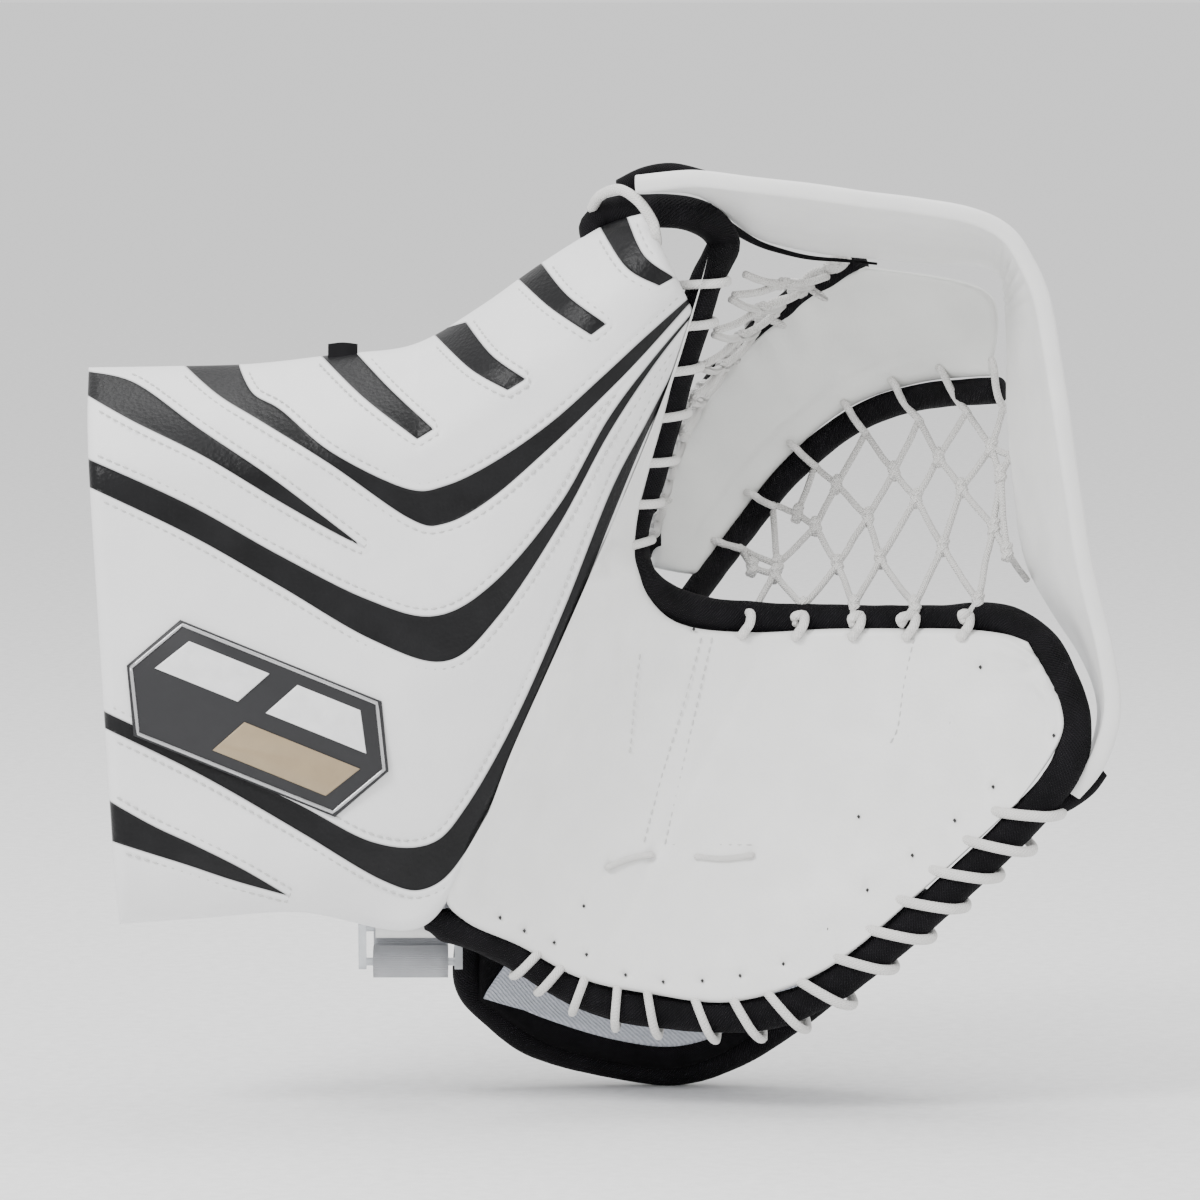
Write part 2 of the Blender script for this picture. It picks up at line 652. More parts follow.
TIP_CORNER = (168, 152)  # pleats run in from here, at the finger tips
px, pz = np.moveaxis(palm_plan - TIP_CORNER, -1, 0)
pleat = np.sin(np.arctan2(pz, px) * 26) * np.exp(-((np.hypot(px, pz) - 9) / 11) ** 2)
palm_front[..., 1] += soft_rim(palm_edge, 3.0) + 1.1 * rough(palm_front, 40) + 0.5 * crease + 0.5 * fine + 0.7 * pleat
# The first three seams also pull the leather in.
PALM_SEAMS = [
    [(42, 164), (36, 138), (30, 112), (24, 86)], [(38, 164), (31, 138), (23, 112), (16, 86)],
    [(117, 164), (113, 146), (110.5, 130), (106, 122)], [(26, 86.5), (42, 86.5), (57, 86.5)],
    [(15, 158), (13, 140), (11, 119)],
]
TIE_HOLES = [(53, 164.6), (73, 164), (94, 164), (114, 164), (134, 164)]
HOLES = [
    (130, 132.5), (96, 97.5), (-6, 64), (141, 153), (167, 128), (19.2, 82.7), (56.6, 82.7), (36, 82), (3, 78),
    (145, 109), (131, 96.5), (115.5, 83.5), (99, 70.5), (84.5, 56), (68, 43), (52, 38.5), (38, 36.5), (23.5, 36),
    (9.5, 38.5), (-5, 46), (-17, 50.5), (-28, 55), (-37, 60), (35, 167),
] + TIE_HOLES


def dimple(at, radius):
    return np.exp(-np.sum((palm_plan - at) ** 2, -1) / radius**2)


for hole in HOLES:
    palm_front[..., 1] += 1.6 * dimple(hole, 1.3)
for line in PALM_SEAMS[:3]:
    for spot in even(line, 1.5):
        palm_front[..., 1] += 0.07 * dimple(spot, 1.6)
PALM_THICK, PALM_BACK = 3.0, 22.5  # the leather, and all of the palm with its padding
palm = slab("palm_leather_skin", palm_front, seated(palm_plan, PALM_THICK + soft_rim(palm_edge, 1.0)))
dress(palm, "white_leather", replaces="palm_leather palm_break thumb_leather")

seams = capsules("palm_stitches", [seated(even(line, 1.2), -0.05) for line in PALM_SEAMS], 2.2, 1.3, 0.3)
dress(seams, "thread", slot="white_leather")
dots = [seated([(x - 0.3, z), (x, z - 0.3), (x + 0.3, z)], 0.25) for x, z in HOLES]
dots = [tube_mesh(dot, [0.5, 0.85, 0.4], 8) for dot in dots]
group("palm_lace_holes", dots, "dark_hole", slot="white_leather")

body_plan = patch(PALM_ROWS, np.linspace(0.03, 0.975, 120), np.linspace(0.08, 0.93, 40))
body_edge = rim_distance(body_plan)
body_front = seated(body_plan, PALM_THICK + 0.4 + soft_rim(body_edge, 5))
body_back = seated(body_plan, PALM_BACK)
body_back[..., 1] -= soft_rim(body_edge, 9) - 0.8 * rough(body_back, 25)
backing = slab("palm_backing", body_front, body_back)
dress(backing, "mesh_lining", replaces="palm_foam palm_board palm_liner thumb_foam")

# ---- edge rolls

ROLL_R, ROLL_SEAT = 6.3, 9.0
ROLL_LINE = [
    (-4, 310), (-1.5, 316.5), (5.5, 321.5), (20, 322), (32.5, 321), (41, 317.5), (46, 311), (43.5, 304), (39, 295),
    (34, 279), (28.5, 261), (23.7, 243), (18.8, 225), (13, 208), (12, 197), (15, 186), (24, 178), (40, 172.5),
    (62, 170.5), (95, 169.5), (125, 169.5), (149, 170), (163.7, 161), (170.5, 148), (174.6, 134.6), (173.5, 120),
    (163.4, 104.2), (136, 76.2), (104.7, 48.5), (77.3, 29.5), (50.7, 23), (14.8, 25.2), (-8, 32), (-28, 44),
    (-38, 49.5), (-52, 55.5), (-64, 58.5),
]
roll_path = seated(even(ROLL_LINE, 1.6), ROLL_SEAT)
roll_radius = ROLL_R * (1 + 0.05 * rough(roll_path, 12))
ends = np.minimum(lengths(roll_path), lengths(roll_path)[-1] - lengths(roll_path))
roll_radius *= 0.55 + 0.45 * ease(ends / 8)
cord("edge_roll", roll_path, roll_radius, 28, "black_nylon", replaces="thumb_roll heel_roll finger_roll")

# ---- T-bar

TEE_FRONT = [
    (13, 15, 327.5), (34, 9, 329.5), (56, 6, 327), (74, 4, 325), (97, 3, 322), (118, 3, 319), (136, 2, 315.5),
    (147, 2, 309.5), (153.5, 2, 300), (159, 2, 287), (163, 2, 268), (166, 3, 250), (170, 4, 221), (175, 5, 191),
    (182, 6, 161), (185.4, 8, 139), (181, 11, 121), (171, 15, 108),
]
TEE_BACK = [
    (15, 26, 328.5), (36, 34, 327), (57, 62, 313.5), (78, 73, 308), (104, 73, 305), (126, 72, 303.5),
    (141, 71.5, 303), (149, 71, 299.5), (151, 71, 292), (151.5, 71, 284), (151.8, 71, 270), (152, 71, 250),
    (154, 70, 222), (160, 66, 188), (178, 58, 158), (184.8, 52, 139), (182, 44, 123), (174, 34, 110),
]
TEE_THICK = 6.6
TEE_CORNER = 0.47  # where the bar turns down, as a share of its length
tee_t = np.linspace(0, 1, 260)
front_line, back_line = spline(TEE_FRONT, tee_t), spline(TEE_BACK, tee_t)
along = unit(np.gradient(front_line, axis=0) + np.gradient(back_line, axis=0))
across = unit(back_line - front_line)
out_dir = unit(np.cross(along, across))
depth = np.linalg.norm(back_line - front_line, axis=1)


def bar_section(d, thick=TEE_THICK):
    """The bar's outline where it is d deep: along its inner face, round the back edge and along its outer face."""
    steps = 1.6 + (d - 3.2) * np.linspace(0.02, 0.98, 24)
    pts = [(0.6, 0.35), (1.6, 0.0)] + [(s, 0.0) for s in steps]
    pts += [(d - 1.6, 0.0), (d - 0.4, 0.5), (d, 1.6), (d, thick - 1.6), (d - 0.5, thick - 0.4), (d - 1.7, thick)]
    pts += [(s, thick) for s in steps[::-1]]
    return np.array(pts + [(1.6, thick), (0.5, thick - 0.4), (0.0, thick - 1.5), (-0.35, thick / 2), (0.0, 1.5)])


sections = np.array([bar_section(d) for d in depth])
ring = front_line[:, None] + sections[..., :1] * across[:, None] + sections[..., 1:] * out_dir[:, None]
n_ring = ring.shape[1]
bulge = rough(ring, 35) * 0.48
# creases fan out from the corner over the inner face
corner_t = np.exp(-(((tee_t - TEE_CORNER) / 0.06) ** 2))[:, None]
inner_mask = np.zeros(n_ring)
inner_mask[2:28] = np.sin(np.linspace(0, math.pi, 26)) ** 0.5
folds = np.sin(tee_t[:, None] * 230)
ring += out_dir[:, None] * (bulge + 0.8 * folds * corner_t * inner_mask)[..., None]
k = np.arange(len(ring) * n_ring).reshape(-1, n_ring)
tee_faces = around(k)[:, [0, 3, 2, 1]].tolist()
tee_faces += [tuple(k[0]), tuple(k[-1][::-1])]
tee = outward(make_object("tee_bar", ring.reshape(-1, 3), tee_faces))
dress(tee, "white_leather", replaces="tee_top tee_top_core tee_crease tee_side tee_side_core")

# black binding behind the bar's thumb end and under its lower end
end_roll = even([(8, 42, 330), (17, 44, 334.5), (27, 45, 336), (38, 46, 333.5)], 1.5)
cord("tee_end_roll_skin", end_roll, 4.2, 20, "black_nylon", "thumb_side", "tee_end_roll")
low_roll = even([(184.5, 22, 114.5), (180, 21, 108.5), (173, 19, 103.5), (166, 17, 100.5)], 1.5)
cord("tee_foot_roll", low_roll, 3.2, 18, "black_nylon", "hand_side")

TOP_LINE = [(46, 46, 318), (58, 61, 311.5), (68, 68, 308.3), (79, 72, 306), (92, 73, 305), (104, 73.5, 303.8)]
top_binding = even(TOP_LINE, 1.5)
taper = np.interp(np.linspace(0, 1, len(top_binding)), [0, 0.3, 1], [1.9, 1.2, 0.5])
cord("tee_back_binding", top_binding, taper, 16, "black_nylon")

# ---- pocket stem

STEM_ROWS = [
    [(147, 74, 262), (121, 101, 260), (94, 112, 250.5), (70, 110, 230.5), (51, 100, 207), (37, 84, 187)],
    [(146, 74, 293), (100, 99, 277), (72, 110, 259), (52, 108, 235), (37, 98, 209), (29, 82, 188)],
    [(100, 74, 303), (78, 92, 293.5), (58, 105, 277), (37, 106, 251), (24, 97, 223), (19, 80, 190)],
]
stem_u = np.linspace(0, 1, 120)
stem_v = edge_steps(56)
stem_front = patch(STEM_ROWS, stem_u, stem_v)
STEM_THICK, STEM_ROLL_R = 10.0, 5.0
stem_back = stem_front + (0, STEM_THICK, 0)
stem_edge = rim_distance(stem_front)
uu, vv = np.meshgrid(stem_u, stem_v)
puff = 3.0 * np.sin(np.pi * np.clip(vv, 0, 1)) ** 0.7
channel = np.exp(-(((stem_edge - 13) / 1.1) ** 2)) * (vv < 0.5) * ease(uu / 0.08) * ease((1 - uu) / 0.1)
pleats = np.sin((uu * 9 + vv * 3.2) * 2.2) * rough(stem_front, 18) * np.exp(-(((uu - 0.12) / 0.22) ** 2))
stem_front[..., 1] += soft_rim(stem_edge, 4.5) - puff + 0.9 * channel + 1.6 * pleats + 0.8 * rough(stem_front, 30)
stem_back[..., 1] -= soft_rim(stem_edge, 4.5) - 0.5 * puff
stem = slab("pocket_stem", stem_front, stem_back)
dress(stem, "pocket_leather", replaces="stem_leather stem_core", slot="white_leather")

STEM_UPPER = [(98, 82, 305), (75, 99, 292), (56, 112, 274.5), (36.5, 113, 249), (24, 103, 222), (20.5, 88, 196)]
STEM_LOWER = [
    (150, 79, 256.5), (121, 107, 254.5), (97, 119, 246), (73, 117, 227), (54, 106, 204), (41, 90, 187),
    (34, 80, 178),
]
rolls = [even(line, 1.6) for line in (STEM_UPPER, STEM_LOWER)]
rolls = [tube_mesh(p, STEM_ROLL_R * (1 + 0.04 * rough(p, 12)), 24) for p in rolls]
group("stem_edge_rolls", rolls, "black_nylon", replaces="stem_rolls")

# ---- nets

KNOTS = dict(
    a0=(57.5, 190), a1=(67, 191), a2=(75, 210.5), a3=(90, 221.5), a4=(111.5, 226.5), a5=(128, 231.5), a6=(147, 235),
    b2=(81.7, 205.5), b3=(101.5, 209), b4=(119.5, 216), b5=(136, 219.8), b6=(150, 224.6),
    c1=(66, 187.5), c2=(89.5, 191), c3=(105.5, 193), c4=(128.5, 197.6), c5=(147.2, 205), c6=(151.8, 195.7),
    d1=(76, 175), d2=(95, 175.7), d3=(117.3, 175.7), d4=(140.6, 177.2),
)
# Where the net passes over the stem's roll, and where it is tied to the palm.
TOPS = dict(
    t1=(52.9, 197.6), t2=(65.5, 213.9), t3=(81.8, 228.7), t4=(101, 241.2), t5=(121, 246), t6=(138.4, 248.6),
    t7=(151.5, 250),
)
FEET = dict(l1=(54, 169), l2=(73, 168.5), l3=(94, 168), l4=(112, 168), l5=(134.5, 169.5), l6=(145, 172))
SIDES = dict(r1=(160, 185), r2=(154, 232))
NET = (
    "t1-a0 t1-a1 t2-a1 t2-a2 t3-a2 t3-a3 t4-a3 t4-a4 t5-a4 t5-a5 t6-a5 t6-a6 t7-a6 a0-c1 a1-c1 a2-b2 a3-b2 a3-b3 "
    "a4-b3 a4-b4 a5-b4 a5-b5 a6-b5 a6-b6 b2-a1 b2-c2 b3-c2 b3-c3 b4-c3 b4-c4 b5-c4 b5-c5 b6-c5 c1-d1 c2-d1 c2-d2 "
    "c3-d2 c3-d3 c4-d3 c4-d4 c5-d4 c5-c6 c1-l1 d1-l2 d2-l3 d3-l4 d4-l5 d1-l1 d4-l6 c6-r1 b6-r2 a6-r2 c6-b6"
).split()


def net_depth(x, z):
    """Depth of the net, which sags back between the palm's edge and the stem's lower roll."""
    low = np.array(STEM_LOWER)[::-1]
    z_top, y_top = np.interp(x, low[:, 0], low[:, 2]), np.interp(x, low[:, 0], low[:, 1])
    y_low = np.interp(x, [45, 70, 100, 130, 155], [72, 63, 52, 40, 42])
    v = np.clip((z - 170) / np.maximum(z_top - 170, 8), 0, 1)
    u = np.clip((x - 50) / 105, 0, 1)
    return y_low + v * (y_top - y_low) + 16 * np.sin(np.pi * v) * np.sin(np.pi * u)


CORD_R, LACE_R = 1.3, 2.05  # the net's cord and the edge lace
spots = {**KNOTS, **TOPS, **FEET, **SIDES}
spots = {k: np.array((x, net_depth(x, z), z)) for k, (x, z) in spots.items()}
spots["r1"][1], spots["r2"][1] = 66, 70


def knot(centre, direction, size=1.0):
    """A wrapped knot: a lumpy barrel with a turn and a half of cord round it."""
    direction = unit(direction)
    a = unit(np.cross(direction, (0.3, 1, 0.2)))
    b = np.cross(direction, a)
    t = np.linspace(-1, 1, 9)
    barrel_r = 2.2 * size * np.sqrt(np.clip(1 - t**2 * 0.8, 0.05, 1))
    barrel = tube_mesh(centre + t[:, None] * direction * 3.9 * size, barrel_r, 12)
    w = np.linspace(0, 3.3 * np.pi, 26)
    turn = centre + np.outer(np.linspace(-2.6, 2.6, 26) * size, direction)
    turn = turn + 1.35 * size * circle(w, a, b)
    return [barrel, tube_mesh(turn, 1.25 * size, 8)]


parts = []
for pair in NET:
    a, b = (spots[k] for k in pair.split("-"))
    t = np.linspace(0, 1, 9)
    line = a + t[:, None] * (b - a)
    sag = 0.05 * np.linalg.norm(b - a)
    line[:, 1] += sag * np.sin(np.pi * t)
    line[:, 2] -= 0.03 * abs(b[0] - a[0]) * np.sin(np.pi * t)
    line += 0.5 * np.stack([rough(line + shift, 14) for shift in (7, 31, 53)], 1) * np.sin(np.pi * t)[:, None]
    parts.append(tube_mesh(line, CORD_R, 10))
for name in KNOTS:
    parts += knot(spots[name], (0.12 * math.sin(len(parts)), 0.2, 1))
group("finger_net_cords", parts, "net_cord", replaces="finger_net")

# lace over the stem's lower roll, from its hole in the leather to the net
parts = []
stem_holes = [(42.5, 200), (55.9, 218.3), (72.2, 237), (92.5, 252.7), (110.3, 261), (128, 265.3), (147, 267.5)]
low_path = even(STEM_LOWER, 1.5)
for (x, z), name in zip(stem_holes, TOPS):
    end = spots[name]
    y_hole = float(np.interp(x, [37, 55, 73, 95, 121, 147], [90, 101, 108, 110, 98, 72]))
    hole = np.array((x, y_hole, z))
    crossing = (0.45 * end + 0.55 * hole)[[0, 2]]
    over = low_path[np.argmin(np.linalg.norm(low_path[:, [0, 2]] - crossing, axis=1))]
    out = unit((end - hole) * (1, 0, 1))
    path = [hole + (0, 7, 0), hole, hole + out * 3 + (0, -1.6, 0), over + out * -1.5 + (0, -6.6, 0)]
    path += [over + out * 3.5 + (0, -5.6, 0), end + (0, -0.5, 0), end + out * 1.2 + (0, 2.5, 0)]
    parts.append(tube_mesh(even(path, 1.0), 1.45, 12))
group("stem_lace_wraps", parts, "lace", replaces="stem_lace")

# ties from the palm's pocket edge up to the net; the last foot, l6, goes behind the roll and has none
parts = []
rise = 2.0  # how steeply a tie climbs
for name, (x, z) in zip(FEET, TIE_HOLES):
    end = spots[name]
    y = float(face(x, z))
    on_top = seated([(x, z), (x + 1.5, z + rise), (x + 3, z + 2.2 * rise)], -1.3)
    path = [(x, y + 4, z), *on_top, (x + 3.3, y + 2.0, z + 2.2 * rise + 3.5), end + (0, 0, 3), end + (0.5, 5, 1)]
    parts.append(tube_mesh(even(path, 1.0), 1.8, 12))
group("pocket_lace_ties", parts, "lace", replaces="pocket_lace")

# ---- thumb net

THUMB_NEAR = [(20, 64, 200), (25.5, 62, 221), (31, 58, 241), (37, 55, 260), (44, 53, 280), (54, 52, 299)]
THUMB_FAR = [(19, 86, 201), (25, 99, 226), (38, 108, 254), (56, 106, 276), (72, 96, 291), (88, 84, 300)]


def thumb_point(u, v):
    a, b = spline(THUMB_NEAR, u), spline(THUMB_FAR, u)
    return a + v * (b - a) + (0, 0, -2.0 * math.sin(math.pi * v))


def strand(a, b, lean):
    return tube_mesh(even([a, (a + b) / 2 + (lean, 0, -1), b], 1.5), 1.5, 10)


parts = []
CELLS = 8
for i in range(CELLS):
    near_u, knot_u = (i + 0.4) / CELLS, (i + 0.75) / CELLS
    middle_knot = thumb_point(knot_u, 0.45)
    parts += knot(middle_knot, thumb_point(min(knot_u + 0.1, 1), 0.5) - middle_knot, 0.95)
    for far_u in (knot_u - 0.06, knot_u + 0.07):
        parts.append(strand(middle_knot, thumb_point(np.clip(far_u, 0, 1), 0.93), 0.8))
    for u in (near_u - 0.02, near_u + 0.09):
        parts.append(strand(thumb_point(np.clip(u, 0, 1), 0.0), middle_knot, 0.5))
    if i + 1 < CELLS:
        parts += knot(thumb_point((i + 1.1) / CELLS, 0.9), (0.5, 0.1, 0.8), 0.9)
group("thumb_net_cords", parts, "net_cord", replaces="thumb_net")

# the lace that runs along the stem's upper roll and winds round it
upper = even(STEM_UPPER, 1.0)
tangent = tangents(upper)
side = unit(np.cross(tangent, (0, 1, 0)))
w = np.linspace(0.6, 2 * np.pi * 7.2, len(upper))
winding = upper + 6.3 * circle(w, side, np.array((0, -1, 0)))
weave = np.sin(np.linspace(0, 40, len(upper) - 10))[:, None] * side[4:-6] * 1.6
run = upper[4:-6] + side[4:-6] * -3.2 + (0, -5.9, 0) + weave
parts = [tube_mesh(winding[6:-4], 1.5, 10), tube_mesh(run, 1.6, 10)]
for at in np.linspace(0.08, 0.9, 8):
    i = int(at * (len(upper) - 1))
    parts += knot(upper[i] + side[i] * -3.6 + (0, -6.6, 0), tangent[i], 1.0)
group("stem_upper_lace", parts, "net_cord")

# ---- laces on the edge rolls

def wrap(centre, tangent, inner, slant, radius):
    """One turn of lace round the edge roll: out of a hole in the leather, over the roll and back behind it.

    inner is the direction from the roll to its leather, and slant how far the turn runs on along the roll.
    """
    front = np.array((0, -1.0, 0))
    reach = ROLL_R + radius * 0.85
    path = []
    for angle, share in ((-20, 0.0), (0, 0.0), (35, 0.15), (80, 0.4), (125, 0.68), (165, 0.9), (200, 1.0), (250, 1.0)):
        w = math.radians(angle)
        side = inner * math.cos(w) + front * math.sin(w)
        r = reach + (3.0 if angle <= 0 else 0.8 if angle < 50 else 0)
        path.append(centre + side * r + tangent * slant * share)
    path[0] = path[1] + np.array((0, 6.0, 0))
    return tube_mesh(even(path, 1.0), radius, 12, squash=0.8)


def wraps(line, stations, slants, radius=LACE_R):
    """Turns of lace at stations in mm along a plan line."""
    centre = seated(even(line, 1.0), ROLL_SEAT)
    s = lengths(centre)
    along = tangents(centre)
    parts = []
    for at, slant in zip(stations, slants):
        c = at_length(centre, s, at)
        t = unit(at_length(along, s, at))
        inner = unit(np.cross(t, (0, -1, 0)))
        parts.append(wrap(c, t, inner, slant, radius))
    return parts


LACED = [
    (165, 106), (150, 88.5), (136, 75.9), (104.7, 48.5), (77.3, 28.9), (50.7, 22.5), (14.8, 24.8), (-8, 32),
    (-28, 44.5), (-38, 50), (-52, 55.5), (-64, 58.5),
]
stations = [18, 35, 52, 69, 86, 103, 121, 136, 151, 166, 184, 196, 209, 218, 228]
slants = [-17, -18, -19, -19, -19, -18, -17, -14, -13, -11, -8, -5, -2, 3, 4]
group("edge_lace", wraps(LACED, stations, slants), "lace", replaces="finger_lace heel_lace")

THUMB_LACED = ROLL_LINE[8:16]
stations, slants = [4, 21, 39, 57, 74, 90, 104], [-8, -9, -9, -9, -8, -7, -3]
group("thumb_edge_lace", wraps(THUMB_LACED, stations, slants, 1.75), "lace", replaces="thumb_lace")

TIP_LOOP = [
    (21, 36, 310), (20.5, 22.5, 313), (19, 22, 318), (14, 23, 325), (7, 30, 329.5), (0, 38, 327.5), (-3, 46, 323),
]
cord("tee_lace_loop", even(TIP_LOOP, 1.0), 2.0, 14, "lace", "thumb_side", "tee_lace")

parts = []
for line in ([(3, 78), (11, 81.2), (19.2, 82.7)], [(36, 82), (46, 81.2), (56.6, 82.7)]):
    path = seated(even(line, 1.0), -0.6)
    path = np.concatenate([path[:1] + (0, 4, 0), path, path[-1:] + (0, 4, 0)])
    parts.append(tube_mesh(even(path, 1.0, 4), 1.2, 12))
group("palm_lace_runs", parts, "lace", replaces="palm_lace")

# ---- back pad

PAD_ROWS = [
    [(-44, 98, 33), (-22, 104, 17), (6, 108, 9), (32, 108, 7), (58, 105, 18), (92, 98, 44), (121, 89, 74)],
    [(-42, 104, 76), (-15, 112, 68), (14, 116, 62), (42, 114, 62), (70, 109, 70), (100, 101, 86), (125, 91, 104)],
    [
        (-38, 100, 130), (-10, 108, 138), (18, 112, 143), (46, 111, 148), (74, 107, 150), (104, 100, 150),
        (128, 92, 146),
    ],
]
PAD_THICK = 18.0
pad_u, pad_v = np.linspace(0.01, 0.99, 110), np.linspace(0.02, 0.98, 90)
pad_rows = np.array(PAD_ROWS, float)
first = pad_rows[0] + 0.13 * (pad_rows[0] - pad_rows[1])
first[0, 0] -= 4
pad_rows[:, 0, 0] -= 3.2  # the cushion reaches under its binding at the wrist
pad_inner = patch([first, *pad_rows], pad_u, pad_v)
pad_edge = rim_distance(pad_inner)
pu, pv = np.meshgrid(pad_u, pad_v)
pad_outer = pad_inner + (0, PAD_THICK, 0)
quilt = sum(np.exp(-(((pv - at) / 0.012) ** 2)) for at in (0.3, 0.55, 0.78))
pad_outer[..., 1] += 1.5 * rough(pad_outer, 40) - soft_rim(pad_edge, 8.0) - 2.2 * quilt * ease(pad_edge / 12)
inner_skin = pad_inner + (0, 1.8, 0)
inner_skin[..., 1] += soft_rim(pad_edge, 4.0)
pad = slab("back_pad_cushion", inner_skin, pad_outer, uvs=np.stack([pu * 6, pv * 14], -1))
dress(pad, "black_nylon", "back_pad", replaces="back_pad back_pad_foam")
LINER_ROWS = [
    [(-41, 99, 29), (-24, 103.5, 20), (6, 108, 10.5), (32, 108, 8.5), (58, 105, 19.5), (92, 98, 45), (119, 89.5, 75)],
    [
        (-40.5, 99.5, 33), (-22, 105.5, 35), (4, 110.5, 47), (32, 113, 58), (66, 109.5, 69), (98, 101, 85),
        (124, 91, 103),
    ],
    [
        (8, 111.5, 100), (20, 112.5, 122), (32, 112, 140), (50, 111, 147), (76, 107, 149), (104, 100, 149),
        (126, 92, 145),
    ],
]
liner_grid = patch(LINER_ROWS, np.linspace(0, 1, 80), np.linspace(0, 1, 60)) - (0, 0.4, 0)
liner_front = liner_grid.copy()
liner_front[..., 1] += 0.9 * rough(liner_grid, 22) + soft_rim(rim_distance(liner_grid), 4) * 0.5
liner = slab("back_pad_mesh_liner", liner_front, liner_grid + (0, 2.4, 0))
dress(liner, "mesh_lining", "back_pad", replaces="back_pad_liner")
BINDING = [
    (-44.5, 109, 130), (-46.5, 112, 100), (-48.5, 112.5, 76), (-50, 110, 50), (-50, 107, 32), (-40, 108.5, 20),
    (-24, 112.5, 8.5), (6, 117, 0.5), (33, 117, -1.5), (60, 114, 9.5), (95, 107, 36), (124, 98, 66),
]
binding_path = even(BINDING, 1.6)
binding_r = 5.2 * (1 + 0.04 * rough(binding_path, 12))
cord("back_pad_binding_roll", binding_path, binding_r, 24, "black_nylon", "back_pad", "back_pad_binding")


WEB_THICK = 2.2


def pad_band(name, across, down, off, thick, look, body, replaces):
    """A strap off mm from the pad's outer side, over the given shares of the pad's width and height."""
    us, vs = np.linspace(*across, 24), np.linspace(*down, 50)
    a = patch(PAD_ROWS, us, vs) + (0, PAD_THICK + off, 0)
    b = a + (0, thick, 0)
    b[..., 1] -= soft_rim(rim_distance(a), thick * 0.5)
    dress(slab(name, a, b, uvs=np.stack(np.meshgrid(us * 9, vs * 13), -1)), look, body, replaces)


pad_band("hand_strap_web", (0.36, 0.56), (0.08, 0.95), 0.3, WEB_THICK, "webbing", "back_pad", "hand_strap")
pad_band("hand_flap_web", (0.37, 0.55), (0.42, 0.92), 4.7, WEB_THICK, "webbing", "hand_flap", "hand_flap")
pad_band("hand_hook_patch", (0.39, 0.53), (0.6, 0.88), 3.4, 1.2, "hook_pile", "hand_flap", "hand_hook")

# ---- wrist strap


def band(name, line, width, off, thick):
    """A strap along line: off is how far it lies towards its outer side."""
    path = even(line, 2.0)
    t = tangents(path)
    out = unit(np.cross((1.0, 0, 0), t))
    s = np.linspace(-0.5, 0.5, 25)
    base = path[:, None] + s[None, :, None] * (width, 0, 0)
    run = np.broadcast_to(lengths(path)[:, None], base.shape[:2])
    e = rim_distance(np.stack([base[..., 0], run], -1))
    a = base + off * out[:, None]
    b = base + (off + thick - soft_rim(e, thick * 0.5))[..., None] * out[:, None]
    uv = np.stack(np.broadcast_arrays(s[None, :] * 3, lengths(path)[:, None] / 10), -1)
    return slab(name, a, b, uvs=uv)


STRAP = [
    (-100, 68, 258), (-98, 94, 238), (-92, 112, 205), (-85, 117, 165), (-79, 109, 122), (-73, 88, 84), (-71, 77, 62),
]
FLAP = [(-71, 77.4, 46), (-72, 90, 68), (-76, 107, 98), (-80, 119, 128), (-83, 122.5, 150)]
STRAP_WIDTH, FLAP_WIDTH = 30, 28
dress(band("wrist_strap_web", STRAP, STRAP_WIDTH, 0, WEB_THICK), "webbing", "thumb_side", replaces="wrist_strap")


def fold(centre, width, inner_r, outer_r, sides=40):
    """A turn of strap round a bar that runs along x."""
    w = angles(sides)
    xs = np.linspace(-width / 2, width / 2, 9)
    rings = []
    for r, order in ((outer_r, xs), (inner_r, xs[::-1])):
        for x in order:
            rings.append(np.array(centre) + np.stack([np.full(sides, x), r * np.cos(w), r * np.sin(w)], 1))
    rings = np.array(rings)
    k = np.arange(len(rings) * sides).reshape(-1, sides)
    uv = np.stack(np.broadcast_arrays(rings[..., 0] / 10, w[None] * outer_r / 10), -1).reshape(-1, 2)
    return rings.reshape(-1, 3), around(k, closed=True).tolist(), uv


def merge(extra, piece):
    """Adds the mesh of extra to piece."""
    bpy.ops.object.select_all(action="DESELECT")
    for o in (extra, piece):
        o.select_set(True)
    bpy.context.view_layer.objects.active = piece
    bpy.ops.object.join()


flap = band("wrist_flap_web", FLAP, FLAP_WIDTH, 0, WEB_THICK)
merge(joined("wrist_flap_turn", [fold((-71, 71, 42), FLAP_WIDTH, 4.0, 6.0)]), flap)
dress(flap, "webbing", "wrist_flap", replaces="wrist_flap")


def part_of(line, t0, t1):
    """The stretch of a line between two shares of its points."""
    return [tuple(spline(line, t)) for t in np.linspace(t0, t1, 9)]


# As in the CAD, the hook pile lies on the flap's outer side, away from the loop pile: see report.md.
hook = band("wrist_hook_pile", part_of(FLAP, 0.55, 0.97), 22, -1.1, 0.9)
dress(hook, "hook_pile", "wrist_flap", replaces="hook_patch")
loop = band("wrist_loop_pile", part_of(STRAP, 0.38, 0.74), 24, 2.3, 1.0)
dress(loop, "loop_pile", "thumb_side", replaces="loop_patch")
tab = joined("ring_tab_leather", [fold((-71, 66, 55), 26, 2.0, 3.9)])
upright = np.stack(np.meshgrid(np.linspace(-84, -58, 14), [62.2, 64.7], np.linspace(55, 75, 12), indexing="ij"), -1)
merge(slab("ring_tab_upright", upright[:, 0], upright[:, 1]), tab)
dress(tab, "white_leather", "thumb_side", replaces="ring_tab", slot="webbing")
